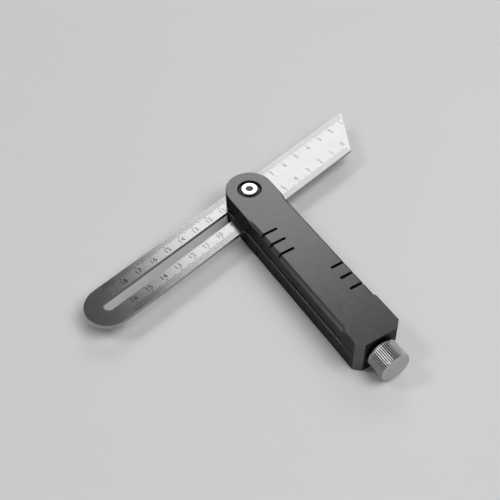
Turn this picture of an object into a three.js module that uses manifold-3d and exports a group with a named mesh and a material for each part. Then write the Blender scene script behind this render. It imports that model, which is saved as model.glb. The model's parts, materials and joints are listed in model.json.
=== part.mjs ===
// Adjustable set square. A steel blade with a pointed tip turns and slides in a slotted handle of
// two shells. A knurled knob in the butt draws a rod, the rod draws a wedge under the pivot, and
// the wedge pulls the pivot bolt down, which clamps the blade between two bearing plates.
// Millimetres. Origin in the middle of the handle's underside, +X towards the butt, +Z up.

import * as THREE from 'three';
import { mergeVertices } from 'three/addons/utils/BufferGeometryUtils.js';
import Module from 'manifold-3d';

const wasm = await Module();
wasm.setup();

// Handle
const handleLength = 130;
const handleWidth = 26;
const handleHeight = 22;
const slotGap = 2.4;
const padLength = 12.6;       // the solid butt behind the slot
const buttChamfer = 3.5;
const topEdgeBreak = 0.25;
const slotEdgeBreak = 0.45;

// Finger recess along both top edges
const recessInset = 1.54;
const leftRecessDrop = 3.6;
const rightRecessDrop = 2.7;
const recessRunIn = 5.2;
const recessRunOut = 2.3;
const leftRecessStart = 18.9;     // from the pivot
const leftRecessSetback = 13.4;   // from the butt face to the recess's full depth
const rightRecessStart = 11.4;
const rightRecessSetback = 22.8;

// Grooves in the top, three on each side
const grooveWidth = 1.7;
const grooveDepth = 2.6;
const groovePitch = 8;
const leftGrooveStart = 32.5;     // from the pivot to the first groove
const leftGrooveEdge = 3.3;       // from the middle to the grooves' round ends
const rightGrooveSetback = 47.1;  // from the butt face to the first groove
const rightGrooveEdge = 4.3;

// Blade
const bladeWidth = 26;
const bladeThickness = 2;
const bladeReach = 113.1;     // pivot to the rounded end
const bladeTip = 92;          // pivot to the long corner of the point
const bladeHeel = 70.5;       // pivot to the short corner of the point
const bladeAngle = THREE.MathUtils.degToRad(76.9);
const bladeSlotWidth = 6.4;
const bladeSlotBack = 8;      // pivot to the slot's hidden end centre

// Guide key, which turns on the bolt and slides in the blade's slot
const keyWidth = 5.8;
const keyLength = 12;
const keyThickness = 1.7;

// Bearing plates above and below the blade
const plateRadius = 9;
const plateThickness = 1.2;
const plateProud = 0.1;

// Pivot bolt, washer and nut
const boltRadius = 2;
const boltEndBreak = 0.35;
const boltHeadRadius = 4.5;
const boltHeadHeight = 3.5;
const boltHeadRound = 0.4;
const boltProud = 0.3;
const boltTail = 1;           // from the underside up to the bolt's end
const socketAcross = 4;
const socketDepth = 2.2;
const counterboreRadius = 6.5;
const counterboreDepth = 4.4;
const counterboreBreak = 0.25;
const washerRadius = 6.1;
const washerThickness = 0.95;
const washerCollar = 2.2;     // the washer's rim round the bolt head, above its floor
const nutAcross = 7;
const nutHeight = 2.7;
const nutRecess = 1.3;
const nutHoleRadius = 5;

// Draw wedge and the saddle that it presses on
const wedgeNose = 6.5;        // pivot to the fork's open end
const wedgeLugStart = 7.5;
const wedgeLugEnd = 12;
const wedgeHalfWidth = 6;
const lugHalfWidth = 4;
const lugFloor = 2.7;
const wedgeThickEnd = 2.7;
const wedgeTaper = 0.1;       // rise for each unit of length
const saddleLength = 10.4;
const saddleWidth = 11.2;
const pocketFloor = 3.9;
const lugPocketFloor = 2.4;

// Draw rod, cross pins and traveller
const rodRadius = 1.5;
const rodLevel = 5.3;
const rodChannelWidth = 3.8;
const rodChannelFloor = 3.4;
const rodInset = 0.6;         // the rod's ends lie this far inside the pieces that hold them
const pinRadius = 0.7;
const pinInset = 0.5;
const travellerLength = 4.4;
const travellerHalfWidth = 4.2;
const travellerFloor = 2.9;
const travellerHead = 3.8;    // above the lock screw's middle
const cavityLength = 7.1;
const lockTravel = 1.05;

// Lock screw, bush, clip and thrust washer
const screwRadius = 2;
const screwTail = 0.7;        // from the cavity's front wall to the screw's end
const bushLength = 4.5;
const bushRadius = 4;
const bushFlangeRadius = 5;
const bushFlangeLength = 1.2;
const bushFlangeSetback = 1.6;
const clipRadius = 3.3;
const clipThickness = 0.6;
const clipMouth = 1.4;
const thrustRadius = 4.6;
const thrustThickness = 0.5;

// Knob and its grub screw
const knobRadius = 8.3;
const knobLength = 12;
const knobShoulder = 2;
const knobEndBreak = 0.6;
const knurlDepth = 0.4;
const knurlCount = 48;
const knobBoreDepth = 8;
const grubRadius = 1.25;
const grubLength = 3.4;
const grubFromShoulder = 2.4;
const grubSocketAcross = 1.5;
const grubSocketDepth = 1.4;

// Screws and dowels that join the shells at the butt
const shellScrewRadius = 1.5;
const shellScrewHeadRadius = 2.75;
const shellScrewHeadHeight = 1.6;
const shellScrewSetback = 8.1;   // from the butt face
const shellScrewSpread = 9;      // from the middle
const shellScrewTop = 17;
const shellScrewSocketAcross = 2;
const shellScrewSocketDepth = 1;
const dowelRadius = 1.2;
const dowelSetback = 2.9;
const dowelSpread = 8.4;
const dowelLength = 9;

// Clearances
const seatGap = 0.1;          // between faces that bear on each other
const fitGap = 0.15;          // round a pinned, pressed or threaded piece
const runGap = 0.3;           // round a piece that turns or slides
const cutOverrun = 1;         // how far a cut runs past the face that it opens

// Facets
const bigSides = 72;
const roundSides = 32;
const smallSides = 16;
const recessSteps = 6;
const roundSteps = 4;
const shoulderSteps = 6;

// Derived levels and places
const halfWidth = handleWidth / 2;
const pivotX = halfWidth - handleLength / 2;
const buttX = handleLength / 2;
const midZ = handleHeight / 2;
const slotFloor = midZ - slotGap / 2;
const slotRoof = midZ + slotGap / 2;
const padX = buttX - padLength;
const bladeFloor = midZ - bladeThickness / 2;
const lowerPlateTop = slotFloor + plateProud;
const lowerPlateFloor = lowerPlateTop - plateThickness;
const upperPlateFloor = slotRoof - plateProud;
const upperPlateTop = upperPlateFloor + plateThickness;
const counterboreFloor = handleHeight - counterboreDepth;
const washerFloor = counterboreFloor + seatGap;
const washerTop = washerFloor + washerThickness;
const collarTop = washerTop + washerCollar;
const headTop = handleHeight + boltProud;
const headFloor = headTop - boltHeadHeight;
const nutTop = nutRecess + nutHeight;
const saddleFloor = nutTop + seatGap;
const wedgeTop = lowerPlateFloor - seatGap;
const wedgeNoseFloor = wedgeTop - wedgeThickEnd;
const bushX = buttX - bushLength;
const cavityX = bushX - cavityLength;
const travellerTop = midZ + travellerHead;
const clipX = bushX - seatGap - clipThickness;
const travellerX = clipX - runGap - travellerLength;
const cavityFloor = travellerFloor - runGap;
const cavityRoof = travellerTop + runGap;
const cavityHalfWidth = travellerHalfWidth + runGap;
const thrustX = buttX + seatGap;
const knobX = thrustX + thrustThickness + seatGap;
const rodStart = pivotX + wedgeLugStart + rodInset;
const rodEnd = travellerX + travellerLength - rodInset;
const wedgePinX = pivotX + (wedgeLugStart + wedgeLugEnd) / 2;
const travellerPinX = travellerX + travellerLength / 2;
const screwEnd = knobX + knobBoreDepth - fitGap;

// Materials
function metal(color, roughness, metalness = 1) {
  return new THREE.MeshStandardMaterial({ color, roughness, metalness });
}
const blackAnodised = metal(0x2b2b2c, 0.55, 0.6);
const stainless = metal(0xc4c5c6, 0.3);
const brightSteel = metal(0xd2d2d2, 0.22);
const darkSteel = metal(0x1d1d1f, 0.5);
const toolSteel = metal(0x8e8f92, 0.4);
const bronze = metal(0xa67c45, 0.4);

// A closed mesh of any geometry: shared corners joined, flat triangles dropped, faces turned out
function toSolid(geometry) {
  const bare = geometry.index ? geometry.clone() : geometry;
  bare.deleteAttribute('normal');
  bare.deleteAttribute('uv');
  const merged = mergeVertices(bare);
  const place = merged.getAttribute('position').array;
  const index = merged.getIndex().array;
  const triangles = [];
  let volume = 0;
  for (let i = 0; i < index.length; i += 3) {
    const [a, b, c] = [index[i], index[i + 1], index[i + 2]];
    if (a === b || b === c || c === a) continue;
    triangles.push(a, b, c);
    const [p, q, r] = [a, b, c].map((v) => new THREE.Vector3().fromArray(place, v * 3));
    volume += p.dot(q.cross(r));
  }
  if (volume < 0) triangles.reverse();
  return new wasm.Manifold(new wasm.Mesh({
    numProp: 3,
    vertProperties: new Float32Array(place),
    triVerts: new Uint32Array(triangles),
  }));
}

function toGeometry(solid) {
  const mesh = solid.getMesh();
  const geometry = new THREE.BufferGeometry();
  geometry.setAttribute('position', new THREE.BufferAttribute(new Float32Array(mesh.vertProperties), 3));
  geometry.setIndex(new THREE.BufferAttribute(new Uint32Array(mesh.triVerts), 1));
  geometry.computeVertexNormals();
  return geometry;
}

const join = (first, ...others) => others.reduce((whole, other) => whole.add(other), first);
const cut = (first, ...others) => others.reduce((whole, other) => whole.subtract(other), first);

// Solids that stand on a level: a prism of an outline, with an edge break at both ends if asked
function prism(shape, floor, top, edgeBreak = 0) {
  const geometry = new THREE.ExtrudeGeometry(shape, {
    depth: top - floor - 2 * edgeBreak,
    bevelEnabled: edgeBreak > 0,
    bevelThickness: edgeBreak,
    bevelSize: edgeBreak,
    bevelOffset: -edgeBreak,
    bevelSegments: 1,
    curveSegments: roundSides * 0.75,
  });
  geometry.translate(0, 0, floor + edgeBreak);
  return toSolid(geometry);
}

function block(x0, x1, y0, y1, z0, z1) {
  const geometry = new THREE.BoxGeometry(x1 - x0, y1 - y0, z1 - z0);
  geometry.translate((x0 + x1) / 2, (y0 + y1) / 2, (z0 + z1) / 2);
  return toSolid(geometry);
}

// Turned solids, as [radius, height] pairs from the low end to the high end of the axis
function turned(profile, sides = roundSides) {
  const points = profile.map(([radius, height]) => new THREE.Vector2(radius, height));
  const geometry = new THREE.LatheGeometry(points, sides);
  geometry.rotateX(Math.PI / 2);
  return geometry;
}

// The rounded outer corner of a turned profile, from its side to its top
function roundedCorner(radius, top, roundRadius) {
  return Array.from({ length: roundSteps + 1 }, (_, i) => {
    const angle = (i / roundSteps) * (Math.PI / 2);
    return [
      radius - roundRadius * (1 - Math.cos(angle)),
      top - roundRadius * (1 - Math.sin(angle)),
    ];
  });
}

function disc(x, y, radius, floor, top, sides = roundSides) {
  const geometry = turned([[0, floor], [radius, floor], [radius, top], [0, top]], sides);
  geometry.translate(x, y, 0);
  return toSolid(geometry);
}

function alongZ(x, y, profile, sides = roundSides) {
  const geometry = turned(profile, sides);
  geometry.translate(x, y, 0);
  return toSolid(geometry);
}

function alongX(z, profile, sides = roundSides) {
  const geometry = turned(profile, sides);
  geometry.rotateY(Math.PI / 2);
  geometry.translate(0, 0, z);
  return toSolid(geometry);
}

function barX(z, radius, x0, x1, sides = roundSides) {
  return alongX(z, [[0, x0], [radius, x0], [radius, x1], [0, x1]], sides);
}

function barY(x, z, radius, halfLength, sides = smallSides) {
  const geometry = new THREE.CylinderGeometry(radius, radius, 2 * halfLength, sides);
  geometry.translate(x, 0, z);
  return toSolid(geometry);
}

// A six-sided socket or nut, by its size across the flats, with corners on the Y axis before its turn
function hexagon(x, y, across, floor, top, turn = 0) {
  const geometry = new THREE.CylinderGeometry(1, 1, top - floor, 6);
  const corner = across / Math.sqrt(3);
  geometry.rotateX(Math.PI / 2);
  geometry.rotateZ(turn);
  geometry.scale(corner, corner, 1);
  geometry.translate(x, y, (floor + top) / 2);
  return toSolid(geometry);
}

function stadium(x0, x1, y, radius) {
  const shape = new THREE.Shape();
  shape.moveTo(x0, y - radius);
  shape.lineTo(x1, y - radius);
  shape.absarc(x1, y, radius, -Math.PI / 2, Math.PI / 2, false);
  shape.lineTo(x0, y + radius);
  shape.absarc(x0, y, radius, Math.PI / 2, Math.PI * 1.5, false);
  return shape;
}

// Handle outline: a round nose about the pivot and two chamfered corners at the butt
function handleOutline(startX) {
  const shape = new THREE.Shape();
  shape.moveTo(buttX - buttChamfer, -halfWidth);
  shape.lineTo(buttX, buttChamfer - halfWidth);
  shape.lineTo(buttX, halfWidth - buttChamfer);
  shape.lineTo(buttX - buttChamfer, halfWidth);
  shape.lineTo(startX, halfWidth);
  if (startX > pivotX) shape.lineTo(startX, -halfWidth);
  else shape.absarc(pivotX, 0, halfWidth, Math.PI / 2, Math.PI * 1.5, false);
  return shape;
}

// Finger recess: a milled run whose plan outline moves outwards as it goes down, so that its face
// is an arc that meets the handle's wall upright
function recess(startX, endX, drop, side) {
  const cutterRadius = (recessRunIn ** 2 + recessInset ** 2) / (2 * recessInset);
  const plan = [];
  for (let i = 0; i <= recessSteps; i += 1) {
    const back = recessRunIn * (1 - i / recessSteps);
    const inset = recessInset - cutterRadius + Math.sqrt(cutterRadius ** 2 - back ** 2);
    plan.push([startX + recessRunIn - back, halfWidth - inset]);
  }
  plan.push([endX, halfWidth - recessInset]);
  plan.push([endX + recessRunOut, halfWidth]);
  plan.push([endX + recessRunOut, halfWidth + cutOverrun]);
  plan.push([startX, halfWidth + cutOverrun]);
  const faceRadius = (drop ** 2 + recessInset ** 2) / (2 * recessInset);
  const levels = [[0, cutOverrun]];
  for (let i = 0; i <= recessSteps; i += 1) {
    const up = drop * (1 - i / recessSteps);
    const outward = recessInset - faceRadius + Math.sqrt(faceRadius ** 2 - up ** 2);
    levels.push([outward, up - drop]);
  }
  const corners = plan.map(([x, y]) => new THREE.Vector2(x, y));
  const lid = THREE.ShapeUtils.triangulateShape(corners, []);
  const places = [];
  const index = [];
  const count = plan.length;
  levels.forEach(([outward, height]) => plan.forEach(([x, y]) => {
    places.push(x, side * (y + outward), handleHeight + height);
  }));
  lid.forEach(([a, b, c]) => {
    index.push(a, b, c);
    const low = count * (levels.length - 1);
    index.push(low + c, low + b, low + a);
  });
  for (let level = 0; level < levels.length - 1; level += 1) {
    for (let i = 0; i < count; i += 1) {
      const a = level * count + i;
      const b = level * count + (i + 1) % count;
      index.push(a, a + count, b, b, a + count, b + count);
    }
  }
  const geometry = new THREE.BufferGeometry();
  geometry.setAttribute('position', new THREE.BufferAttribute(new Float32Array(places), 3));
  geometry.setIndex(index);
  return toSolid(geometry);
}

function grooves(startX, edge, side) {
  const cuts = [];
  for (let i = 0; i < 3; i += 1) {
    const shape = stadium(edge + grooveWidth / 2, halfWidth + cutOverrun, 0, grooveWidth / 2);
    const geometry = new THREE.ExtrudeGeometry(shape, {
      depth: grooveDepth + cutOverrun,
      bevelEnabled: false,
      curveSegments: smallSides / 2,
    });
    geometry.rotateZ(side * Math.PI / 2);
    geometry.translate(startX + i * groovePitch, 0, handleHeight - grooveDepth);
    cuts.push(toSolid(geometry));
  }
  return join(...cuts);
}

// Spaces that both shells share at the butt: the traveller's cavity and the bush's seat
const travellerCavity = block(cavityX, bushX, -cavityHalfWidth, cavityHalfWidth, cavityFloor, cavityRoof);
const bushSeatRadius = bushRadius + fitGap;
const bushGrooveRadius = bushFlangeRadius + fitGap;
const bushFlangeX = bushX + bushFlangeSetback;
const bushSeat = join(
  barX(midZ, bushSeatRadius, bushX - cutOverrun, buttX + cutOverrun),
  barX(midZ, bushGrooveRadius, bushFlangeX - fitGap, bushFlangeX + bushFlangeLength + fitGap),
);
const dowelHoles = [-1, 1].map((side) => disc(
  buttX - dowelSetback, side * dowelSpread, dowelRadius + fitGap,
  slotFloor - dowelLength / 2 - fitGap, slotFloor + dowelLength / 2 + fitGap, smallSides));
const shellScrewX = buttX - shellScrewSetback;

function shellScrewHole(side) {
  const radius = shellScrewRadius + fitGap;
  return alongZ(shellScrewX, side * shellScrewSpread, [
    [0, -cutOverrun],
    [shellScrewHeadRadius + fitGap + cutOverrun, -cutOverrun],
    [shellScrewHeadRadius + fitGap, 0],
    [radius, shellScrewHeadHeight],
    [radius, shellScrewTop + fitGap],
    [0, shellScrewTop + fitGap],
  ], smallSides);
}

// Upper shell, with the pad that spaces the shells apart at the butt
const upperShell = cut(
  join(
    prism(handleOutline(pivotX), slotRoof, handleHeight, topEdgeBreak),
    prism(handleOutline(padX), slotFloor, slotRoof + slotGap),
  ),
  disc(pivotX, 0, counterboreRadius, counterboreFloor, handleHeight + cutOverrun, bigSides),
  alongZ(pivotX, 0, [
    [0, handleHeight - counterboreBreak],
    [counterboreRadius, handleHeight - counterboreBreak],
    [counterboreRadius + counterboreBreak + cutOverrun, handleHeight + cutOverrun],
    [0, handleHeight + cutOverrun],
  ], bigSides),
  disc(pivotX, 0, boltRadius + runGap, slotFloor, handleHeight),
  disc(pivotX, 0, plateRadius + runGap, slotRoof - cutOverrun, upperPlateTop + seatGap, bigSides),
  travellerCavity,
  bushSeat,
  ...dowelHoles,
  shellScrewHole(-1),
  shellScrewHole(1),
  recess(pivotX + leftRecessStart, buttX - leftRecessSetback, leftRecessDrop, -1),
  recess(pivotX + rightRecessStart, buttX - rightRecessSetback, rightRecessDrop, 1),
  grooves(pivotX + leftGrooveStart, leftGrooveEdge, -1),
  grooves(buttX - rightGrooveSetback, rightGrooveEdge, 1),
);

// Lower shell, with the pocket for wedge and saddle and the rod's open channel
const pocketStart = pivotX - wedgeNose - lockTravel - runGap;
const pocketEnd = pivotX + wedgeLugEnd + runGap;
const pocketHalfWidth = wedgeHalfWidth + runGap;
const lugPocketStart = pivotX + wedgeLugStart - lockTravel - runGap;
const lowerShell = cut(
  prism(handleOutline(pivotX), 0, slotFloor, slotEdgeBreak),
  disc(pivotX, 0, plateRadius + runGap, lowerPlateFloor - seatGap, slotFloor + cutOverrun, bigSides),
  block(pocketStart, pocketEnd, -pocketHalfWidth, pocketHalfWidth, pocketFloor, slotFloor + cutOverrun),
  block(lugPocketStart, pocketEnd, -lugHalfWidth - runGap, lugHalfWidth + runGap, lugPocketFloor, slotFloor),
  disc(pivotX, 0, nutHoleRadius, -cutOverrun, pocketFloor + cutOverrun),
  block(pocketEnd - cutOverrun, cavityX + cutOverrun, -rodChannelWidth / 2, rodChannelWidth / 2,
    rodChannelFloor, slotFloor + cutOverrun),
  travellerCavity,
  bushSeat,
  ...dowelHoles,
  shellScrewHole(-1),
  shellScrewHole(1),
);

// Blade, along +X from the pivot to its rounded end, before it is turned to its angle
const bladeEndCentre = bladeReach - bladeWidth / 2;
const bladeShape = new THREE.Shape();
bladeShape.moveTo(-bladeTip, -bladeWidth / 2);
bladeShape.lineTo(bladeEndCentre, -bladeWidth / 2);
bladeShape.absarc(bladeEndCentre, 0, bladeWidth / 2, -Math.PI / 2, Math.PI / 2, false);
bladeShape.lineTo(-bladeHeel, bladeWidth / 2);
const bladeSlot = stadium(-bladeSlotBack, bladeEndCentre, 0, bladeSlotWidth / 2);
const blade = cut(
  prism(bladeShape, bladeFloor, bladeFloor + bladeThickness),
  prism(bladeSlot, bladeFloor - cutOverrun, bladeFloor + bladeThickness + cutOverrun),
);

const keyEnd = keyLength / 2 - keyWidth / 2;
const guideKey = cut(
  prism(stadium(-keyEnd, keyEnd, 0, keyWidth / 2), midZ - keyThickness / 2, midZ + keyThickness / 2),
  disc(0, 0, boltRadius + fitGap, slotFloor, slotRoof, roundSides),
);

function ringZ(x, outer, inner, floor, top, sides = roundSides) {
  return cut(
    disc(x, 0, outer, floor, top, sides),
    disc(x, 0, inner, floor - cutOverrun, top + cutOverrun, roundSides),
  );
}

const upperPlate = ringZ(pivotX, plateRadius, boltRadius + runGap, upperPlateFloor, upperPlateTop, bigSides);
const lowerPlate = ringZ(pivotX, plateRadius, boltRadius + runGap, lowerPlateFloor, lowerPlateTop, bigSides);
const pivotWasher = cut(
  ringZ(pivotX, washerRadius, boltRadius + runGap, washerFloor, collarTop, bigSides),
  disc(pivotX, 0, boltHeadRadius + fitGap, washerTop, collarTop + cutOverrun, bigSides),
);

const pivotBolt = cut(
  alongZ(pivotX, 0, [
    [0, boltTail],
    [boltRadius - boltEndBreak, boltTail],
    [boltRadius, boltTail + boltEndBreak],
    [boltRadius, headFloor],
    [boltHeadRadius, headFloor],
    ...roundedCorner(boltHeadRadius, headTop, boltHeadRound),
    [0, headTop],
  ], roundSides),
  hexagon(pivotX, 0, socketAcross, headTop - socketDepth, headTop + cutOverrun, Math.PI / 2),
);

const pivotNut = cut(
  hexagon(pivotX, 0, nutAcross, nutRecess, nutTop),
  disc(pivotX, 0, boltRadius + fitGap, 0, nutTop + cutOverrun),
);

// A prism across the handle, from a side outline given as [x, z] pairs
function across(profile, halfSpan) {
  const shape = new THREE.Shape(profile.map(([x, z]) => new THREE.Vector2(x, z)));
  const geometry = new THREE.ExtrudeGeometry(shape, { depth: 2 * halfSpan, bevelEnabled: false });
  geometry.rotateX(Math.PI / 2);
  geometry.translate(0, halfSpan, 0);
  return toSolid(geometry);
}

// Draw wedge: a fork round the bolt, thick at the nose, with a lug for the rod
const wedgeBackFloor = wedgeNoseFloor + wedgeTaper * (wedgeNose + wedgeLugStart);
const drawWedge = cut(
  join(
    across([
      [pivotX - wedgeNose, wedgeNoseFloor],
      [pivotX + wedgeLugStart, wedgeBackFloor],
      [pivotX + wedgeLugStart, wedgeTop],
      [pivotX - wedgeNose, wedgeTop],
    ], wedgeHalfWidth),
    block(pivotX + wedgeLugStart, pivotX + wedgeLugEnd, -lugHalfWidth, lugHalfWidth, lugFloor, wedgeTop),
  ),
  prism(stadium(pivotX - wedgeNose - cutOverrun, pivotX + lockTravel, 0, boltRadius + runGap),
    0, wedgeTop + cutOverrun),
  barX(rodLevel, rodRadius + fitGap, pivotX + wedgeLugStart - cutOverrun, pivotX + wedgeLugEnd + cutOverrun),
  barY(wedgePinX, rodLevel, pinRadius + fitGap, lugHalfWidth + cutOverrun),
);

const saddleHalf = saddleLength / 2;
const saddleNoseTop = wedgeNoseFloor - seatGap + wedgeTaper * (wedgeNose - saddleHalf);
const wedgeSaddle = cut(
  across([
    [pivotX - saddleHalf, saddleFloor],
    [pivotX + saddleHalf, saddleFloor],
    [pivotX + saddleHalf, saddleNoseTop + wedgeTaper * saddleLength],
    [pivotX - saddleHalf, saddleNoseTop],
  ], saddleWidth / 2),
  disc(pivotX, 0, boltRadius + fitGap, 0, wedgeTop),
);

const drawRod = cut(
  barX(rodLevel, rodRadius, rodStart, rodEnd, smallSides),
  barY(wedgePinX, rodLevel, pinRadius + fitGap, rodRadius + cutOverrun),
  barY(travellerPinX, rodLevel, pinRadius + fitGap, rodRadius + cutOverrun),
);
const wedgePin = barY(wedgePinX, rodLevel, pinRadius, lugHalfWidth - pinInset);
const travellerPin = barY(travellerPinX, rodLevel, pinRadius, travellerHalfWidth - pinInset);
const traveller = cut(
  block(travellerX, travellerX + travellerLength, -travellerHalfWidth, travellerHalfWidth,
    travellerFloor, travellerTop),
  barX(midZ, screwRadius + fitGap, travellerX - cutOverrun, travellerX + travellerLength + cutOverrun),
  barX(rodLevel, rodRadius + fitGap, travellerX - cutOverrun, travellerX + travellerLength + cutOverrun),
  barY(travellerPinX, rodLevel, pinRadius + fitGap, travellerHalfWidth + cutOverrun),
);

function ringX(outer, inner, x0, x1) {
  return cut(
    barX(midZ, outer, x0, x1),
    barX(midZ, inner, x0 - cutOverrun, x1 + cutOverrun),
  );
}

const lockScrew = barX(midZ, screwRadius, cavityX + screwTail, screwEnd, roundSides);
const buttBush = join(
  ringX(bushRadius, screwRadius + fitGap, bushX, buttX),
  ringX(bushFlangeRadius, screwRadius + fitGap, bushFlangeX, bushFlangeX + bushFlangeLength),
);
const retainingClip = cut(
  ringX(clipRadius, screwRadius + fitGap, clipX, clipX + clipThickness),
  block(clipX - cutOverrun, bushX, -clipMouth, clipMouth, midZ - clipRadius - cutOverrun, midZ),
);
const thrustWasher = ringX(thrustRadius, screwRadius + runGap, thrustX, thrustX + thrustThickness);

// Knob: a smooth rounded shoulder, then a straight knurl to the end break
const knurlShape = new THREE.Shape();
for (let i = 0; i < 4 * knurlCount; i += 1) {
  const angle = (i / (4 * knurlCount)) * 2 * Math.PI;
  const radius = i % 4 < 2 ? knobRadius : knobRadius - knurlDepth;
  if (i === 0) knurlShape.moveTo(radius, 0);
  else knurlShape.lineTo(radius * Math.cos(angle), radius * Math.sin(angle));
}
const knurlGeometry = new THREE.ExtrudeGeometry(knurlShape, { depth: knobLength, bevelEnabled: false });
knurlGeometry.rotateY(Math.PI / 2);
knurlGeometry.translate(knobX, 0, midZ);
const shoulderPoints = [];
for (let i = 0; i <= shoulderSteps; i += 1) {
  const angle = (i / shoulderSteps) * (Math.PI / 2);
  shoulderPoints.push([
    knobRadius - knobShoulder * (1 - Math.sin(angle)),
    knobX + knobShoulder * (1 - Math.cos(angle)),
  ]);
}
const knobEnd = knobX + knobLength;
const knobEnvelope = alongX(midZ, [
  [0, knobX],
  ...shoulderPoints,
  [knobRadius, knobEnd - knobEndBreak],
  [knobRadius - knobEndBreak, knobEnd],
  [0, knobEnd],
], 2 * knurlCount);
const smoothShoulder = barX(midZ, knobRadius + cutOverrun, knobX - cutOverrun, knobX + knobShoulder, bigSides);
const grubX = knobX + knobShoulder + grubFromShoulder;
const grubTop = midZ - screwRadius - fitGap;
const lockKnob = cut(
  join(toSolid(knurlGeometry), smoothShoulder).intersect(knobEnvelope),
  barX(midZ, screwRadius + fitGap, knobX - cutOverrun, knobX + knobBoreDepth),
  disc(grubX, 0, grubRadius + fitGap, -knobRadius, midZ, smallSides),
);
const knobGrub = cut(
  disc(grubX, 0, grubRadius, grubTop - grubLength, grubTop, smallSides),
  hexagon(grubX, 0, grubSocketAcross, grubTop - grubLength - cutOverrun, grubTop - grubLength + grubSocketDepth),
);

function shellScrew(side) {
  return cut(
    alongZ(shellScrewX, side * shellScrewSpread, [
      [0, seatGap],
      [shellScrewHeadRadius - seatGap, seatGap],
      [shellScrewRadius, shellScrewHeadHeight],
      [shellScrewRadius, shellScrewTop],
      [0, shellScrewTop],
    ], smallSides),
    hexagon(shellScrewX, side * shellScrewSpread, shellScrewSocketAcross,
      -cutOverrun, seatGap + shellScrewSocketDepth),
  );
}

function dowel(side) {
  return disc(buttX - dowelSetback, side * dowelSpread, dowelRadius,
    slotFloor - dowelLength / 2, slotFloor + dowelLength / 2, smallSides);
}

// Scene graph
const setSquare = new THREE.Group();
setSquare.name = 'set_square';
const bladeGroup = new THREE.Group();
bladeGroup.name = 'blade_group';
bladeGroup.position.set(pivotX, 0, 0);
bladeGroup.rotation.z = -bladeAngle;
setSquare.add(bladeGroup);

function place(parent, name, solid, material) {
  const mesh = new THREE.Mesh(toGeometry(solid), material);
  mesh.name = name;
  parent.add(mesh);
}

place(setSquare, 'upper_shell', upperShell, blackAnodised);
place(setSquare, 'lower_shell', lowerShell, blackAnodised);
place(setSquare, 'upper_plate', upperPlate, toolSteel);
place(setSquare, 'lower_plate', lowerPlate, toolSteel);
place(setSquare, 'pivot_washer', pivotWasher, darkSteel);
place(setSquare, 'pivot_bolt', pivotBolt, brightSteel);
place(setSquare, 'pivot_nut', pivotNut, toolSteel);
place(setSquare, 'wedge_saddle', wedgeSaddle, toolSteel);
place(setSquare, 'draw_wedge', drawWedge, toolSteel);
place(setSquare, 'wedge_pin', wedgePin, toolSteel);
place(setSquare, 'draw_rod', drawRod, toolSteel);
place(setSquare, 'traveller', traveller, bronze);
place(setSquare, 'traveller_pin', travellerPin, toolSteel);
place(setSquare, 'lock_screw', lockScrew, toolSteel);
place(setSquare, 'retaining_clip', retainingClip, darkSteel);
place(setSquare, 'butt_bush', buttBush, bronze);
place(setSquare, 'thrust_washer', thrustWasher, darkSteel);
place(setSquare, 'lock_knob', lockKnob, brightSteel);
place(setSquare, 'knob_grub', knobGrub, darkSteel);
place(setSquare, 'shell_screw_left', shellScrew(-1), darkSteel);
place(setSquare, 'shell_screw_right', shellScrew(1), darkSteel);
place(setSquare, 'dowel_left', dowel(-1), toolSteel);
place(setSquare, 'dowel_right', dowel(1), toolSteel);
place(bladeGroup, 'blade', blade, stainless);
place(bladeGroup, 'guide_key', guideKey, toolSteel);

export default setSquare;
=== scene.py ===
"""Adjustable set square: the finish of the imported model, in metres, in the model's own frame."""
import json
import math

import bmesh
import bpy
from mathutils import Matrix, Vector

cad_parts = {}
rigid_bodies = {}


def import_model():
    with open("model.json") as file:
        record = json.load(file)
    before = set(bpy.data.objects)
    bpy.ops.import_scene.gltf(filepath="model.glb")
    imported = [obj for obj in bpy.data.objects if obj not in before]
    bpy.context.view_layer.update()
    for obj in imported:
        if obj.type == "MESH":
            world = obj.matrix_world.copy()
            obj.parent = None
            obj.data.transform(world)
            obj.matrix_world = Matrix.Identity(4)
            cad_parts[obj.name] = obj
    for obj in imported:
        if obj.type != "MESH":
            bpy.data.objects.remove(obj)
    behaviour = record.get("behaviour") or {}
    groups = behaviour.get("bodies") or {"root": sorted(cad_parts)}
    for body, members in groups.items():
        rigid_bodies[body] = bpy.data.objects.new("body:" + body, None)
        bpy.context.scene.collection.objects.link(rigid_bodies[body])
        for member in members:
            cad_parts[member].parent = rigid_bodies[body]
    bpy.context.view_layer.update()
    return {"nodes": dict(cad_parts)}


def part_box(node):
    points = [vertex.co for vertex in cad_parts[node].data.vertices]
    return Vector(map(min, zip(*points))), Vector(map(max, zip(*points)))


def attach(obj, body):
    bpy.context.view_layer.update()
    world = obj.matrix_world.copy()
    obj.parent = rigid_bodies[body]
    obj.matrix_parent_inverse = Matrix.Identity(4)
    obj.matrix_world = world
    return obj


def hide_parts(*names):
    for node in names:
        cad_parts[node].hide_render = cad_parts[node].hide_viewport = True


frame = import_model()

# Sizes

MM = 0.001
MERGE_DISTANCE = 0.002 * MM
FLAT_ANGLE = math.radians(0.3)      # faces that turn by less become one
SHARP_ANGLE = math.radians(30)      # edges that turn by more are sharp
EDGE_SEGMENTS = 2
CUT_OVERRUN = MM                    # how far a cutter stands out of what it cuts
SHELL_EDGE = 0.09 * MM              # the small rounds on the sharp edges
BLADE_EDGE = 0.12 * MM

BLADE_ANGLE = math.radians(-76.9)
BLADE_WIDTH = 26 * MM

HEAD_HEIGHT = 3.5 * MM
HEAD_ROUND = 0.4 * MM
HEAD_CHAMFER = 0.1 * MM
HEAD_STEPS = 10
SHANK_RADIUS = 2 * MM
SHANK_CHAMFER = 0.35 * MM
SOCKET_ACROSS = 4 * MM
SOCKET_DEPTH = 2.2 * MM
SOCKET_LEAD = 0.08 * MM

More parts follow.
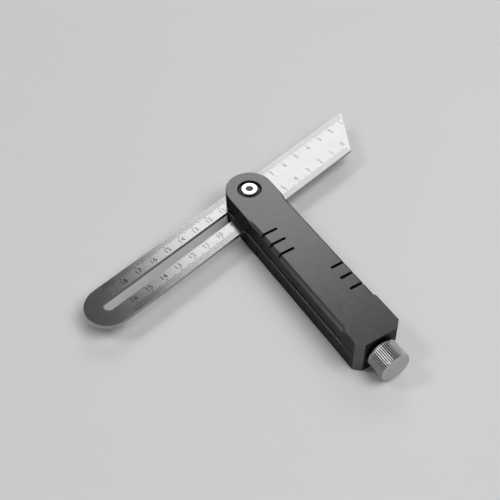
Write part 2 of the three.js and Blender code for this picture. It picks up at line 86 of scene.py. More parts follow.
WASHER_BORE = 2.3 * MM              # radius of the bore in both washers
CUP_CHAMFER = 0.15 * MM
CUP_FLOOR = 0.95 * MM
CUP_GAP = 0.15 * MM                 # between the bolt's head and the collar round it
THRUST_CHAMFER = 0.1 * MM

KNOB_RADIUS = 8.3 * MM              # over the crests of the knurl
KNOB_SHOULDER = 2 * MM
SHOULDER_END = -6                   # degrees, just short of the crests
SHOULDER_STEPS = 14
SHOULDER_SLOPE = 0.25 * MM          # length of the slope from the shoulder down to the core
RIM_DROP = 0.12 * MM                # how far the rim lies below the crests
RIM_ROUND = 0.5 * MM
RIM_STEPS = 6
RIM_WIDTH = 0.62 * MM
RIM_SLOPE = 0.13 * MM
BORE_RADIUS = 2.15 * MM
BORE_DEPTH = 8 * MM

KNURL_COUNT = 48
KNURL_DEPTH = 0.4 * MM
KNURL_START = 0.55                  # as a share of the shoulder, which the bars run out on
KNURL_INSET = 0.7 * MM              # between the bars and the end face
BAR_HALF_WIDTH = 0.29 * MM
BAR_CROWN = 0.9 * MM                # radius of the bars' tops
BAR_STEPS = 8
BAR_FOOT = 0.1 * MM                 # how deep the bars stand in the core
GROOVE_RISE = 0.03 * MM             # how far the dark sheet of painted shade in the grooves stands on the core
GROOVE_ROOT = 0.5 * MM              # how deep it stands in the core

BOLT_SIDES = 96
THRUST_SIDES = 72
KNOB_SIDES = 144
BORE_SIDES = 48

upper_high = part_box("upper_shell")[1]
blade_low, blade_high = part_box("blade")
bolt_low, bolt_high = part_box("pivot_bolt")
cup_low, cup_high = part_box("pivot_washer")
thrust_low, thrust_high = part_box("thrust_washer")
knob_low, knob_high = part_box("lock_knob")

PIVOT_X = (bolt_low.x + bolt_high.x) / 2
MID_Z = (blade_low.z + blade_high.z) / 2
PIVOT_CENTRE = (PIVOT_X, 0, 0)
KNOB_CENTRE = (0, 0, MID_Z)
SOCKET_CORNER = SOCKET_ACROSS / math.sqrt(3)
BLADE_PLACE = Matrix.Translation(PIVOT_CENTRE) @ Matrix.Rotation(BLADE_ANGLE, 4, "Z")


# Node language

class Wire:
    """A node's output, which takes part in sums."""

    def __init__(self, maker, socket):
        self.maker = maker
        self.socket = socket

    def math(self, operation, *values):
        return self.maker.node("ShaderNodeMath", {"operation": operation}, dict(enumerate(values)))

    def __add__(self, other):
        return self.math("ADD", self, other)

    def __sub__(self, other):
        return self.math("SUBTRACT", self, other)

    def __mul__(self, other):
        return self.math("MULTIPLY", self, other)

    def __truediv__(self, other):
        return self.math("DIVIDE", self, other)

    def __radd__(self, other):
        return self.math("ADD", other, self)

    def __rsub__(self, other):
        return self.math("SUBTRACT", other, self)

    def __rmul__(self, other):
        return self.math("MULTIPLY", other, self)

    def __rtruediv__(self, other):
        return self.math("DIVIDE", other, self)

    def clamped(self):
        return self.maker.node("ShaderNodeClamp", {}, {"Value": self})


class Maker:
    """Makes and joins the nodes of one tree."""

    def __init__(self, tree):
        self.tree = tree

    def node(self, kind, settings, inputs, output=0):
        made = self.tree.nodes.new(kind)
        for name, value in settings.items():
            setattr(made, name, value)
        for key, value in inputs.items():
            self.join(value, made.inputs[key])
        return Wire(self, made.outputs[output])

    def join(self, value, socket):
        if isinstance(value, Wire):
            self.tree.links.new(value.socket, socket)
        else:
            socket.default_value = value

    def seen(self):
        """How the ray that looks at a point was sent: by the camera, or by a shiny or clear surface."""
        camera = self.node("ShaderNodeLightPath", {}, {}, "Is Camera Ray")
        rays = camera.socket.node.outputs
        mirrored = (Wire(self, rays["Is Glossy Ray"]) + Wire(self, rays["Is Transmission Ray"])).clamped()
        return camera, mirrored


class Paint(Maker):
    """One material: a Principled shader and the nodes that feed it."""

    def __init__(self, name, **fixed):
        self.material = bpy.data.materials.new(name)
        self.material.use_nodes = True
        super().__init__(self.material.node_tree)
        self.tree.nodes.clear()
        self.shader = self.tree.nodes.new("ShaderNodeBsdfPrincipled")
        self.output = self.tree.nodes.new("ShaderNodeOutputMaterial")
        self.tree.links.new(self.shader.outputs["BSDF"], self.output.inputs["Surface"])
        self.feed(**fixed)

    def feed(self, **values):
        """Sets or joins the shader's sockets, which are named with _ for a space."""
        for socket, value in values.items():
            self.join(value, self.shader.inputs[socket.replace("_", " ")])
        return self

    def place(self, turn=0.0, stretch=(1, 1, 1), centre=(0, 0, 0)):
        """The point on the object, from a centre, turned about Z and stretched."""
        point = self.node("ShaderNodeTexCoord", {}, {}, "Object")
        moved = self.node("ShaderNodeMapping", {"vector_type": "POINT"},
                          {"Vector": point, "Location": [-c for c in centre]})
        turned = self.node("ShaderNodeMapping", {"vector_type": "POINT"},
                           {"Vector": moved, "Rotation": (0, 0, -turn)})
        return self.node("ShaderNodeMapping", {"vector_type": "POINT"},
                         {"Vector": turned, "Scale": stretch})

    def along(self, point, axis):
        return self.node("ShaderNodeSeparateXYZ", {}, {"Vector": point}, axis)

    def length(self, point):
        return self.node("ShaderNodeVectorMath", {"operation": "LENGTH"}, {0: point}, "Value")

    def noise(self, point, scale, detail=3.0, rough=0.6):
        return self.node("ShaderNodeTexNoise", {},
                         {"Vector": point, "Scale": scale, "Detail": detail, "Roughness": rough}, "Fac")

    def mix(self, factor, low, high):
        return self.node("ShaderNodeMix", {"data_type": "RGBA"}, {0: factor, 6: low, 7: high}, 2)

    def shades(self, factor, dark, light):
        return self.mix(factor, (*dark, 1), (*light, 1))

    def bump(self, height, strength, distance=0.01 * MM):
        return self.node("ShaderNodeBump", {},
                         {"Height": height, "Strength": strength, "Distance": distance}, "Normal")


def spread(wire, low=0.3, high=0.7):
    """Stretches the middle of a noise, from low to high, over 0 to 1."""
    return ((wire - low) / (high - low)).clamped()


def between(wire, low, high):
    """Goes from low to high as the wire goes from 0 to 1."""
    return low + (high - low) * wire


def mingled(fine, broad, share):
    """Two patterns as one, of which the fine one makes up this share."""
    return (fine * share + broad * (1 - share)).clamped()


def grey(value):
    """A grey that is bluer than neutral by a hundredth."""
    return (value, value, value * 1.01)


# Materials

def bead_blasted():
    """Black anodised metal with the fine pits of bead blasting."""
    paint = Paint("bead_blasted_black", Metallic=1.0, Specular_Tint=(0.0, 0.0, 0.0, 1))
    point = paint.place()
    pits = paint.noise(point, scale=3200, rough=0.65)
    cloud = paint.noise(point, scale=240)
    tone = mingled(spread(pits, 0.32, 0.68), spread(cloud), share=0.65)
    return paint.feed(
        Base_Color=paint.shades(tone, grey(0.13), grey(0.19)),
        Roughness=between(tone, 0.29, 0.37),
        Normal=paint.bump(pits, strength=0.2, distance=0.02 * MM),
    ).material


def satin_blade():
    """Stainless rule steel with a fine matt grain drawn out a little along the blade."""
    paint = Paint("satin_rule_steel", Metallic=1.0)
    point = paint.place(turn=BLADE_ANGLE, stretch=(0.35, 1, 1), centre=PIVOT_CENTRE)
    grain = paint.noise(point, scale=3000)
    cloud = paint.noise(point, scale=160, rough=0.55)
    tone = mingled(spread(grain), spread(cloud), share=0.6)
    return paint.feed(
        Base_Color=paint.shades(tone, grey(0.34), grey(0.41)),
        Roughness=between(tone, 0.18, 0.23),
        Normal=paint.bump(grain, strength=0.08),
    ).material


def turned_steel(name, dark, light, rough, across, centre, pitch, socket=None):
    """Steel with the fine rings that a lathe leaves, and painted shade: a darker even tone inside its
    socket.
    """
    paint = Paint(name, Metallic=1.0)
    point = paint.place(centre=centre)
    radial = paint.node("ShaderNodeVectorMath", {"operation": "MULTIPLY"}, {0: point, 1: across})
    distance = paint.length(radial)
    outward = paint.node("ShaderNodeCombineXYZ", {}, {"X": distance})
    rings = paint.noise(outward, scale=1 / pitch, detail=2.0)
    grain = paint.noise(point, scale=4000, detail=2.0)
    tone = mingled(spread(rings), spread(grain), share=0.6)
    colour = paint.shades(tone, grey(dark), grey(light))
    # Painted shade: inside the socket's corners and below the head's top, the steel is drawn in one darker
    # tone
    if socket:
        wall = ((socket["radius"] - distance) / SOCKET_SHADE_WALL_BLUR).clamped()
        mouth = ((socket["mouth"] - paint.along(point, "Z")) / SOCKET_SHADE_TOP_BLUR).clamped()
        colour = paint.mix(wall * mouth, colour, (*grey(SOCKET_SHADE_TONE), 1))
    return paint.feed(
        Base_Color=colour,
        Roughness=between(tone, *rough),
        Normal=paint.bump(rings, strength=0.15),
    ).material


def grained(name, dark, light, rough, scale, detail=3.0, stretch=(1, 1, 1), metallic=1.0):
    """Metal with one even grain, which is a set of ground lines where it is stretched."""
    paint = Paint(name, Metallic=metallic)
    grain = paint.noise(paint.place(stretch=stretch), scale, detail)
    return paint.feed(
        Base_Color=paint.shades(spread(grain), dark, light),
        Roughness=between(grain, *rough),
        Normal=paint.bump(grain, strength=0.15),
    ).material


def ground_steel(name, dark, light):
    return grained(name, grey(dark), grey(light), (0.3, 0.42), 2400, detail=2.0, stretch=(0.05, 1, 1))


# Places along the blade from the pivot, between which painted sheen and painted shade change the ink
INK_SHEEN_START = -5 * MM
INK_SHEEN_RUN = 30 * MM
INK_SHADE_START = 40 * MM
INK_SHADE_RUN = 35 * MM
INK_SHADE_END = 93 * MM


def etched_ink(name, dark, light, sheen_tone, shade_tone):
    """Ink in the etched marks, with painted sheen that makes it faint towards the point and painted shade
    that makes it dark towards the rounded end.
    """
    paint = Paint(name, Metallic=1.0)
    point = paint.place(turn=BLADE_ANGLE, centre=PIVOT_CENTRE)
    grain = paint.noise(point, scale=2500, detail=2.0)
    place = paint.along(point, "X")
    # Painted sheen: the ink turns lighter towards the point, and painted shade: it turns darker towards
    # the rounded end
    sheen_share = ((INK_SHEEN_START - place) / INK_SHEEN_RUN).clamped()
    shade_share = ((place - INK_SHADE_START) / INK_SHADE_RUN).clamped() * ((INK_SHADE_END - place) / MM).clamped()
    base_ink = paint.mix(shade_share, paint.shades(grain, grey(dark), grey(light)), (*grey(shade_tone), 1))
    return paint.feed(
        Base_Color=paint.mix(sheen_share, base_ink, (*grey(sheen_tone), 1)),
        Roughness=between(grain, 0.3, 0.4),
    ).material


# Painted shade in the socket: its tone, how far it reaches past the corners and stays below the head's
# top, and the widths over which it starts
SOCKET_SHADE_TONE = 0.42
SOCKET_SHADE_MARGIN = 0.1 * MM
SOCKET_SHADE_TOP = 0.12 * MM
SOCKET_SHADE_WALL_BLUR = 0.03 * MM
SOCKET_SHADE_TOP_BLUR = 0.1 * MM
BOLT_SOCKET_SHADE = {"radius": SOCKET_CORNER + SOCKET_SHADE_MARGIN, "mouth": bolt_high.z - SOCKET_SHADE_TOP}
FINISH = {
    "shell": bead_blasted(),
    "blade": satin_blade(),
    "bright_steel": turned_steel(
        "turned_bright_steel", dark=0.78, light=0.86, rough=(0.16, 0.24),
        across=(1, 1, 0), centre=PIVOT_CENTRE, pitch=0.25 * MM, socket=BOLT_SOCKET_SHADE),
    "knob_steel": turned_steel(
        "turned_knob_steel", dark=0.44, light=0.5, rough=(0.24, 0.32),
        across=(0, 1, 1), centre=KNOB_CENTRE, pitch=0.3 * MM),
    # Black oxide on the small dark parts, and painted shade on the sheet in the knurl's grooves
    "dark_steel": grained("black_oxide", grey(0.015), grey(0.035), (0.38, 0.52), 2600, metallic=0.9),
    "tool_steel": ground_steel("ground_tool_steel", dark=0.3, light=0.42),
    "bronze": grained("bearing_bronze", (0.4, 0.24, 0.1), (0.52, 0.34, 0.17), (0.3, 0.45), 1800),
}
LINE_INK = etched_ink("line_ink", dark=0.03, light=0.06, sheen_tone=0.24, shade_tone=0.015)
NUMBER_INK = etched_ink("number_ink", dark=0.13, light=0.19, sheen_tone=0.22, shade_tone=0.015)
BLUED_STEEL = ground_steel("blued_steel", dark=0.035, light=0.055)


# Making and placing pieces

def shown(piece):
    """Puts an object in the scene, if it isn't there."""
    objects = bpy.context.scene.collection.objects
    if piece.name not in objects:
        objects.link(piece)


def finished(piece, body, slot, material=None, nodes=()):
    """Gives a piece its material and its body, and hides the nodes that it stands for."""
    shown(piece)
    piece.data.materials.clear()
    piece.data.materials.append(material or FINISH[slot])
    for polygon in piece.data.polygons:
        polygon.material_index = 0
    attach(piece, body)
    if nodes:
        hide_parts(*nodes)


def evaluated(piece, name):
    """A plain mesh of what the piece's modifiers make, in place of the piece."""
    shown(piece)
    graph = bpy.context.evaluated_depsgraph_get()
    mesh = bpy.data.meshes.new_from_object(piece.evaluated_get(graph), depsgraph=graph)
    made = bpy.data.objects.new(name, mesh)
    bpy.data.objects.remove(piece)
    return made


def smooth(piece):
    piece.data.polygons.foreach_set("use_smooth", [True] * len(piece.data.polygons))
    piece.data.set_sharp_from_angle(angle=SHARP_ANGLE)


def rounded_edges(piece, width):
    """A small round on each sharp edge, so that it catches the light."""
    smooth(piece)
    edges = piece.modifiers.new("edge_round", "BEVEL")
    edges.width = width
    edges.segments = EDGE_SEGMENTS
    edges.limit_method = "ANGLE"
    edges.angle_limit = SHARP_ANGLE
    edges.harden_normals = True
    normals = piece.modifiers.new("flat_faces", "WEIGHTED_NORMAL")
    normals.keep_sharp = True


def mesh_object(name, shape):
    mesh = bpy.data.meshes.new(name)
    shape.to_mesh(mesh)
    shape.free()
    return bpy.data.objects.new(name, mesh)


def merged_copy(node, name):
    """The solid's own shape as one joined mesh, with its flat faces whole."""
    shape = bmesh.new()
    shape.from_mesh(frame["nodes"][node].data)
    bmesh.ops.remove_doubles(shape, verts=shape.verts, dist=MERGE_DISTANCE)
    bmesh.ops.dissolve_limit(shape, angle_limit=FLAT_ANGLE, verts=shape.verts, edges=shape.edges)
    return mesh_object(name, shape)


def turned(name, profile, sides, axis="Z", centre=(0, 0, 0)):
    """A solid of revolution from (radius, height) pairs, which end on the axis or go round a ring."""
    shape = bmesh.new()
    closed = profile[0][0] > 0
    rings = []
    for radius, height in profile:
        if radius == 0:
            rings.append([shape.verts.new((0, 0, height))])
            continue
        rings.append([
            shape.verts.new((radius * math.cos(angle), radius * math.sin(angle), height))
            for angle in (2 * math.pi * i / sides for i in range(sides))
        ])
    following = rings[1:] + rings[:1] if closed else rings[1:]
    for low, high in zip(rings, following):
        for i in range(sides):
            j = (i + 1) % sides
            corners = []
            for vert in (low[i % len(low)], low[j % len(low)], high[j % len(high)], high[i % len(high)]):
                if vert not in corners:
                    corners.append(vert)
            shape.faces.new(corners)
    if axis == "X":
        shape.transform(Matrix.Rotation(math.pi / 2, 4, "Y"))
    shape.transform(Matrix.Translation(centre))
    bmesh.ops.recalc_face_normals(shape, faces=shape.faces)
    return mesh_object(name, shape)


def arc(centre_radius, centre_height, radius, start, end, steps):
    """Profile points on an arc, angles in degrees from the outward direction."""
    points = []
    for i in range(steps + 1):
        angle = math.radians(start + (end - start) * i / steps)
        points.append((centre_radius + radius * math.cos(angle), centre_height + radius * math.sin(angle)))
    return points


def carved(name, piece, *cutters):
    """The piece with the cutters' shapes taken out of it."""
    for cutter in cutters:
        shown(cutter)
        cut = piece.modifiers.new("cut", "BOOLEAN")
        cut.operation = "DIFFERENCE"
        cut.solver = "EXACT"
        cut.object = cutter
    made = evaluated(piece, name)
    for cutter in cutters:
        bpy.data.objects.remove(cutter)
    return made


class Builder(Maker):
    """A Geometry Nodes tree whose named inputs are the sizes and the finish of what it makes."""

    def __init__(self, name, inputs):
        super().__init__(bpy.data.node_groups.new(name, "GeometryNodeTree"))
        self.identifiers = {}
        for label, (kind, value) in inputs.items():
            socket = self.tree.interface.new_socket(label, in_out="INPUT", socket_type=kind)
            if value is not None:
                socket.default_value = value
            self.identifiers[label] = socket.identifier
        self.tree.interface.new_socket("Geometry", in_out="OUTPUT", socket_type="NodeSocketGeometry")
        given = self.tree.nodes.new("NodeGroupInput").outputs
        self.given = {label: Wire(self, given[label]) for label in inputs}

    def end(self, copies, finish):
        """Makes the copies real, gives them their finish and ends the tree."""
        real = self.node("GeometryNodeRealizeInstances", {}, {"Geometry": copies})
        painted = self.node("GeometryNodeSetMaterial", {}, {"Geometry": real, "Material": finish})
        self.join(painted, self.tree.nodes.new("NodeGroupOutput").inputs["Geometry"])
        return self

    def make(self, name, values, part=None):
        """The plain mesh that the tree makes with these values, of a part if the tree repeats one."""
        holder = part or bpy.data.objects.new(name + "_tree", bpy.data.meshes.new(name))
        maker = holder.modifiers.new("maker", "NODES")
        maker.node_group = self.tree
        for label, value in values.items():
            maker[self.identifiers[label]] = value
        return evaluated(holder, name)


# Handle shells and blade

for node, name, body, slot, edge in (
    ("upper_shell", "upper_shell_blasted", "handle", "shell", SHELL_EDGE),
    ("lower_shell", "lower_shell_blasted", "handle", "shell", SHELL_EDGE),
    ("blade", "rule_blade", "blade", "blade", BLADE_EDGE),
):
    solid = merged_copy(node, name)
    rounded_edges(solid, edge)
    finished(solid, body, slot, nodes=[node])


# Graduations: on each face of the blade, a row of lines and numbers along each edge

LINE_SIZES = {
    "Pitch": MM,
    "Short": 3.3 * MM,
    "Middle": 4.1 * MM,
    "Long": 4.9 * MM,
    "Width": 0.28 * MM,
    "Height": 0.016 * MM,
}
EDGE_MARGIN = 0.35 * MM        # between a row of lines and its edge
NUMBER_PITCH = 10 * MM
NUMBER_SIZE = 4.3 * MM
NUMBER_ROW = 6.05 * MM         # from the blade's middle line
NUMBER_CURVE_STEPS = 4
TOP = 1
UNDER = -1
FACE_NAMES = {TOP: "top", UNDER: "under"}
# Each row counts from its own corner of the point or close to it. Its zero, along the blade from
# the pivot, is where the photographed numbers put it. The edge is -1 for the far one and 1 for the
# near one, and first and last are the row's first and last lines.
SCALES = (
    {"name": "far", "zero": -94.5 * MM, "edge": -1, "first": 6, "last": 190, "numbers": range(1, 20)},
    {"name": "near", "zero": -70.95 * MM, "edge": 1, "first": 1, "last": 163, "numbers": range(17)},
)


def graduation_tree():
    """Lines at a steady pitch, longer at every fifth and longest at every tenth."""
    tree = Builder("graduation_row", {
        "Count": ("NodeSocketInt", 1),
        "First": ("NodeSocketInt", 0),
        **{label: ("NodeSocketFloat", size) for label, size in LINE_SIZES.items()},
        "Ink": ("NodeSocketMaterial", None),
    })
    given = tree.given
    start = tree.node("ShaderNodeCombineXYZ", {}, {"X": given["First"] * given["Pitch"]})
    step = tree.node("ShaderNodeCombineXYZ", {}, {"X": given["Pitch"]})
    row = tree.node("GeometryNodeMeshLine", {}, {
        "Count": given["Count"], "Start Location": start, "Offset": step})
    number = tree.node("GeometryNodeInputIndex", {}, {}) + given["First"]

    def divides(by):
        tolerance = 0.1
        return number.math("COMPARE", number.math("FLOORED_MODULO", number, by), 0, tolerance)

    def chosen(condition, no, yes):
        return tree.node("ShaderNodeMix", {}, {0: condition, 2: no, 3: yes})

    length = chosen(divides(10), chosen(divides(5), given["Short"], given["Middle"]), given["Long"])
    size = tree.node("ShaderNodeCombineXYZ", {}, {
        "X": given["Width"], "Y": length, "Z": given["Height"]})
    # A box of unit size that starts at the row, which each line's sizes then stretch
    line = tree.node("GeometryNodeMeshCube", {}, {"Size": (1, 1, 1)})
    inward = tree.node("GeometryNodeTransform", {}, {"Geometry": line, "Translation": (0, 0.5, 0)})
    copies = tree.node("GeometryNodeInstanceOnPoints", {}, {
        "Points": row, "Instance": inward, "Scale": size})
    return tree.end(copies, given["Ink"])


def face_level(face):
    return blade_high.z if face == TOP else blade_low.z


def scale_lines(scale, face):
    """The lines of one row on one face."""
    count = scale["last"] - scale["first"] + 1
    row = GRADUATIONS.make(
        f"scale_lines_{scale['name']}_{FACE_NAMES[face]}",
        {"Count": count, "First": scale["first"], **LINE_SIZES, "Ink": LINE_INK})
    if scale["edge"] > 0:
        # The tree's lines run from the far edge inward, so those of the near edge are mirrored
        for vert in row.data.vertices:
            x, y, z = vert.co
            vert.co = (x, -y, z)
        row.data.flip_normals()
    edge = scale["edge"] * (BLADE_WIDTH / 2 - EDGE_MARGIN)
    row.data.transform(BLADE_PLACE @ Matrix.Translation((scale["zero"], edge, face_level(face))))
    return row


def scale_numbers(scale, face):
    """The numbers of one row on one face as one flat mesh, just clear of the steel."""
    # On the top the digits have their feet to the near edge and read towards the point. Those of
    # the underside are turned over about the blade's length.
    turn = Matrix.Rotation(math.pi, 4, "Z")
    if face == UNDER:
        turn = Matrix.Rotation(math.pi, 4, "X") @ turn
    level = face_level(face) + face * LINE_SIZES["Height"] / 2
    shape = bmesh.new()
    for number in scale["numbers"]:
        words = bpy.data.curves.new("number", "FONT")
        words.body = str(number)
        words.size = NUMBER_SIZE
        words.align_x = "CENTER"
        words.align_y = "CENTER"
        words.resolution_u = NUMBER_CURVE_STEPS
        flat = evaluated(bpy.data.objects.new("number", words), "number_mesh")
        along = scale["zero"] + number * NUMBER_PITCH
        across = scale["edge"] * NUMBER_ROW
        flat.data.transform(BLADE_PLACE @ Matrix.Translation((along, across, level)) @ turn)
        shape.from_mesh(flat.data)
        bpy.data.objects.remove(flat)
    return mesh_object(f"scale_numbers_{scale['name']}_{FACE_NAMES[face]}", shape)


GRADUATIONS = graduation_tree()
for scale in SCALES:
    for face in (TOP, UNDER):
        finished(scale_lines(scale, face), "blade", "blade", LINE_INK)
        finished(scale_numbers(scale, face), "blade", "blade", NUMBER_INK)


# Pivot bolt, with a rounded head and a hexagon socket, and its cup washer

def rod(radius, low, high):
    """The profile of a plain rod."""
    return [(0, low), (radius, low), (radius, high), (0, high)]


head_top = bolt_high.z
head_radius = (bolt_high.x - bolt_low.x) / 2
head_floor = head_top - HEAD_HEIGHT
bolt = carved(
    "pivot_bolt_turned",
    turned("bolt", [
        (0, bolt_low.z),
        (SHANK_RADIUS - SHANK_CHAMFER, bolt_low.z),
        (SHANK_RADIUS, bolt_low.z + SHANK_CHAMFER),
        (SHANK_RADIUS, head_floor),
        (head_radius - HEAD_CHAMFER, head_floor),
        (head_radius, head_floor + HEAD_CHAMFER),
        *arc(head_radius - HEAD_ROUND, head_top - HEAD_ROUND, HEAD_ROUND, 0, 90, HEAD_STEPS),
        (0, head_top),
    ], BOLT_SIDES, centre=PIVOT_CENTRE),
    turned("socket", rod(SOCKET_CORNER, head_top - SOCKET_DEPTH, head_top + CUT_OVERRUN), 6,
           centre=PIVOT_CENTRE),
    turned("socket_lead", [
        (0, head_top - SOCKET_LEAD),
        (SOCKET_CORNER - SOCKET_LEAD, head_top - SOCKET_LEAD),
        (SOCKET_CORNER + CUT_OVERRUN, head_top + CUT_OVERRUN),
        (0, head_top + CUT_OVERRUN),
    ], BOLT_SIDES, centre=PIVOT_CENTRE),
)
smooth(bolt)
finished(bolt, "bolt", "bright_steel", nodes=["pivot_bolt"])

cup_radius = (cup_high.x - cup_low.x) / 2
cup_bore = head_radius + CUP_GAP
cup_floor = cup_low.z + CUP_FLOOR
cup = turned("pivot_washer_cup", [
    (WASHER_BORE, cup_low.z),
    (cup_radius - CUP_CHAMFER, cup_low.z),
    (cup_radius, cup_low.z + CUP_CHAMFER),
    (cup_radius, cup_high.z - CUP_CHAMFER),
    (cup_radius - CUP_CHAMFER, cup_high.z),
    (cup_bore, cup_high.z),
    (cup_bore, cup_floor),
    (WASHER_BORE, cup_floor),
], BOLT_SIDES, centre=PIVOT_CENTRE)
smooth(cup)
finished(cup, "handle", "dark_steel", BLUED_STEEL, ["pivot_washer"])


# Thrust washer between the knob and the butt

thrust_radius = (thrust_high.z - thrust_low.z) / 2
thrust = turned("thrust_washer_ring", [
    (WASHER_BORE, thrust_low.x),
    (thrust_radius - THRUST_CHAMFER, thrust_low.x),
    (thrust_radius, thrust_low.x + THRUST_CHAMFER),
    (thrust_radius, thrust_high.x - THRUST_CHAMFER),
    (thrust_radius - THRUST_CHAMFER, thrust_high.x),
    (WASHER_BORE, thrust_high.x),
], THRUST_SIDES, "X", KNOB_CENTRE)
smooth(thrust)
finished(thrust, "handle", "dark_steel", nodes=["thrust_washer"])


# Knob: a turned body with a round shoulder, and a straight knurl of crowned bars

def knurl_tree():
    """Copies of the incoming bar, set evenly all the way round the X axis."""
    tree = Builder("straight_knurl", {
        "Geometry": ("NodeSocketGeometry", None),
        "Count": ("NodeSocketInt", KNURL_COUNT),
        "Centre": ("NodeSocketVector", (0, 0, 0)),
        "Steel": ("NodeSocketMaterial", None),
    })
    given = tree.given
    stack = tree.node("GeometryNodeMeshLine", {}, {"Count": given["Count"], "Offset": (0, 0, 0)})
    angle = tree.node("GeometryNodeInputIndex", {}, {}) * (2 * math.pi / given["Count"])
    copies = tree.node("GeometryNodeInstanceOnPoints", {}, {
        "Points": stack, "Instance": given["Geometry"],
        "Rotation": tree.node("ShaderNodeCombineXYZ", {}, {"X": angle})})
    placed = tree.node("GeometryNodeTransform", {}, {"Geometry": copies, "Translation": given["Centre"]})
    return tree.end(placed, given["Steel"])


def knurl_bar(start, end, foot, crest):
    """One bar of the knurl on the +Z side of the X axis, with a crowned top."""
    reach = math.asin(BAR_HALF_WIDTH / BAR_CROWN)
    section = [(-BAR_HALF_WIDTH, foot)]
    for i in range(BAR_STEPS + 1):
        angle = reach * (2 * i / BAR_STEPS - 1)
        section.append((BAR_CROWN * math.sin(angle), crest - BAR_CROWN * (1 - math.cos(angle))))
    section.append((BAR_HALF_WIDTH, foot))
    shape = bmesh.new()
    ends = [[shape.verts.new((x, y, z)) for y, z in section] for x in (start, end)]
    for i in range(len(section)):
        j = (i + 1) % len(section)
        shape.faces.new((ends[0][i], ends[0][j], ends[1][j], ends[1][i]))
    for corners in ends:
        shape.faces.new(corners)
    bmesh.ops.recalc_face_normals(shape, faces=shape.faces)
    return mesh_object("knurl_bar", shape)


knob_start = knob_low.x
knob_end = knob_high.x
core_radius = KNOB_RADIUS - KNURL_DEPTH
rim_radius = KNOB_RADIUS - RIM_DROP
rim_start = knob_end - RIM_WIDTH
shoulder_end = knob_start + KNOB_SHOULDER
knob = carved(
    "lock_knob_turned",
    turned("knob", [
        (0, knob_start),
        *arc(KNOB_RADIUS - KNOB_SHOULDER, shoulder_end, KNOB_SHOULDER, -90, SHOULDER_END, SHOULDER_STEPS),
        (core_radius, shoulder_end + SHOULDER_SLOPE),
        (core_radius, rim_start - RIM_SLOPE),
        (rim_radius, rim_start),
        *arc(rim_radius - RIM_ROUND, knob_end - RIM_ROUND, RIM_ROUND, 0, 90, RIM_STEPS),
        (0, knob_end),
    ], KNOB_SIDES, "X", KNOB_CENTRE),
    turned("bore", rod(BORE_RADIUS, knob_start - CUT_OVERRUN, knob_start + BORE_DEPTH), BORE_SIDES,
           "X", KNOB_CENTRE),
)
smooth(knob)
finished(knob, "knob", "knob_steel", nodes=["lock_knob"])

knurl_start = knob_start + KNOB_SHOULDER * KNURL_START
knurl_end = knob_end - KNURL_INSET
knurl = knurl_tree().make(
    "lock_knob_knurl",
    {"Count": KNURL_COUNT, "Centre": KNOB_CENTRE, "Steel": FINISH["knob_steel"]},
    knurl_bar(knurl_start, knurl_end, core_radius - BAR_FOOT, KNOB_RADIUS))
smooth(knurl)
finished(knurl, "knob", "knob_steel")

# Painted shade: a dark sheet just over the core between the bars, where the grooves lie in shade
groove_shade = turned("lock_knob_groove_shade", [
    (core_radius - GROOVE_ROOT, knurl_start),
    (core_radius + GROOVE_RISE, knurl_start),
    (core_radius + GROOVE_RISE, knurl_end),
    (core_radius - GROOVE_ROOT, knurl_end),
], KNOB_SIDES, "X", KNOB_CENTRE)
smooth(groove_shade)
finished(groove_shade, "knob", "dark_steel")


# Pieces seen only from below or inside, which keep their solids

for slot, nodes in {
    "tool_steel": ["upper_plate", "lower_plate", "guide_key", "pivot_nut", "wedge_saddle", "draw_wedge",
                   "wedge_pin", "draw_rod", "traveller_pin", "lock_screw", "dowel_left", "dowel_right"],
    "bronze": ["traveller", "butt_bush"],
    "dark_steel": ["retaining_clip", "knob_grub", "shell_screw_left", "shell_screw_right"],
}.items():
    for node in nodes:
        solid = frame["nodes"][node]
        solid.data.materials.clear()
        solid.data.materials.append(FINISH[slot])


# Floor, lights and camera, in metres and degrees

ROOM_LEVEL = 0.6        # the pale room, as the camera and the metal see it
DIM_LEVEL = 0.08        # the room's even light on matt surfaces
# Dark screens in the room, which the metal reflects. The radii are those of the dark part and of
# the whole.
SCREENS = (
    {"azimuth": 152, "elevation": 48, "dark_radius": 22, "radius": 34, "level": 0.08},
    {"azimuth": 228, "elevation": 22, "dark_radius": 20, "radius": 34, "level": 0.2},
)
FLOOR_SIZE = 6
FLOOR_DROP = 0.02 * MM
FLOOR_SHADOWS = 0.3     # from the middle, where the floor keeps its own shading
FLOOR_FADE = 0.5        # over which it then turns into the pale room
# Lamps: where they hang, what they face, their sizes and their power. The metal doesn't mirror the
# fill, which lights the floor, and the rim lamp's beam is narrow, so that it misses the floor.
KNOB_SPOT = (0.072, 0, 0.011)
SOFTBOXES = {
    "key_softbox": {
        "place": (-0.975, 0.79, 1.0), "target": (-0.975, 0.79, 0),
        "width": 0.65, "height": 1.06, "power": 5.2},
    "fill_softbox": {
        "place": (0.63, 0.36, 1.41), "target": (-0.03, 0, 0),
        "width": 1.1, "height": 1.1, "power": 16, "mirrored": False},
    "knob_softbox": {
        "place": (-0.448, -0.657, 1.006), "target": KNOB_SPOT,
        "width": 0.3, "height": 0.3, "power": 2.4},
    "rim_softbox": {
        "place": (-0.16, 0.547, 0.11), "target": KNOB_SPOT,
        "width": 0.12, "height": 0.12, "power": 0.002, "beam": 12},
}
# The photograph's view, solved from the blade's numbers and the straight edges. The place is in
# millimetres from the pivot, level with the handle's top, before the turn about Z.
VIEW_TURN = math.radians(58.797)
VIEW_DOWN = math.radians(48.86)
VIEW_ROLL = math.radians(-1.392)
VIEW_PLACE = (-0.495, -348.71, 348.59)
VIEW_FOCAL = 904.15     # pixels of the photograph
VIEW_PIXELS = 500
SENSOR_WIDTH = 36
CLIP_START = 0.01


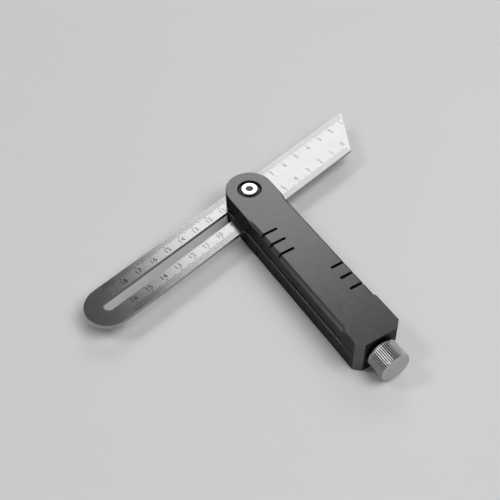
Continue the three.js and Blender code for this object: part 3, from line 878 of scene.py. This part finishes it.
def floor():
    """A pale floor that keeps the shadow and runs out into the pale room."""
    shape = bmesh.new()
    bmesh.ops.create_grid(shape, x_segments=1, y_segments=1, size=FLOOR_SIZE)
    ground = mesh_object("pale_floor", shape)
    ground.location.z = -FLOOR_DROP
    shown(ground)
    paint = Paint("pale_floor_paint", Roughness=0.7)
    mottle = paint.noise(paint.place(), scale=8, detail=2.0, rough=0.5)
    paint.feed(Base_Color=paint.shades(mottle, grey(0.78), grey(0.8)))
    camera_ray, mirrored = paint.seen()
    far = ((paint.length(paint.place()) - FLOOR_SHADOWS) / FLOOR_FADE).clamped()
    glow = paint.node("ShaderNodeEmission", {}, {"Strength": ROOM_LEVEL}, "Emission")
    both = paint.node("ShaderNodeMixShader", {}, {
        0: far * (camera_ray + mirrored), 1: Wire(paint, paint.shader.outputs["BSDF"]), 2: glow}, "Shader")
    paint.join(both, paint.output.inputs["Surface"])
    ground.data.materials.append(paint.material)


def softbox(name, place, target, width, height, power, mirrored=True, beam=180):
    lamp = bpy.data.lights.new(name, "AREA")
    lamp.shape = "RECTANGLE"
    lamp.size = width
    lamp.size_y = height
    lamp.energy = power
    lamp.spread = math.radians(beam)
    holder = bpy.data.objects.new(name, lamp)
    holder.location = place
    holder.rotation_euler = (Vector(target) - Vector(place)).to_track_quat("-Z", "Y").to_euler()
    holder.visible_glossy = mirrored
    holder.visible_camera = False
    shown(holder)


def room():
    """The pale room round the object, with its dark screens."""
    world = bpy.data.worlds.new("pale_room")
    world.use_nodes = True
    maker = Maker(world.node_tree)
    direction = maker.node("ShaderNodeTexCoord", {}, {}, "Generated")
    level = ROOM_LEVEL
    for screen in SCREENS:
        azimuth = math.radians(screen["azimuth"])
        elevation = math.radians(screen["elevation"])
        middle = (math.cos(azimuth) * math.cos(elevation), math.sin(azimuth) * math.cos(elevation),
                  math.sin(elevation))
        nearness = maker.node("ShaderNodeVectorMath", {"operation": "DOT_PRODUCT"},
                              {0: direction, 1: middle}, "Value")
        shade = maker.node("ShaderNodeMapRange", {"interpolation_type": "SMOOTHSTEP"}, {
            "Value": nearness,
            "From Min": math.cos(math.radians(screen["radius"])),
            "From Max": math.cos(math.radians(screen["dark_radius"])),
            "To Min": ROOM_LEVEL,
            "To Max": screen["level"],
        }, "Result")
        level = shade.math("MINIMUM", shade, level)
    camera_ray, mirrored = maker.seen()
    strength = camera_ray * (ROOM_LEVEL - DIM_LEVEL) + mirrored * (level - DIM_LEVEL) + DIM_LEVEL
    background = world.node_tree.nodes["Background"]
    background.inputs["Color"].default_value = (1, 1, 1, 1)
    maker.join(strength, background.inputs["Strength"])
    bpy.context.scene.world = world


def camera():
    """The camera at the photograph's view."""
    turn = Matrix.Rotation(VIEW_TURN, 3, "Z")
    forward = Vector((0, math.cos(VIEW_DOWN), -math.sin(VIEW_DOWN)))
    level_right = Vector((1, 0, 0))
    level_up = Vector((0, math.sin(VIEW_DOWN), math.cos(VIEW_DOWN)))
    right = level_right * math.cos(VIEW_ROLL) + level_up * math.sin(VIEW_ROLL)
    up = level_up * math.cos(VIEW_ROLL) - level_right * math.sin(VIEW_ROLL)
    axes = [turn @ axis for axis in (right, up, -forward)]
    place = turn @ Vector(VIEW_PLACE) * MM + Vector((PIVOT_X, 0, upper_high.z))
    lens = bpy.data.cameras.new("photo_view")
    lens.sensor_width = SENSOR_WIDTH
    lens.lens = VIEW_FOCAL / VIEW_PIXELS * SENSOR_WIDTH
    lens.clip_start = CLIP_START
    holder = bpy.data.objects.new("photo_view", lens)
    holder.matrix_world = Matrix.Translation(place) @ Matrix(axes).transposed().to_4x4()
    shown(holder)
    bpy.context.scene.camera = holder


floor()
for name, settings in SOFTBOXES.items():
    softbox(name, **settings)
camera()
room()
bpy.context.scene.view_settings.view_transform = "Standard"
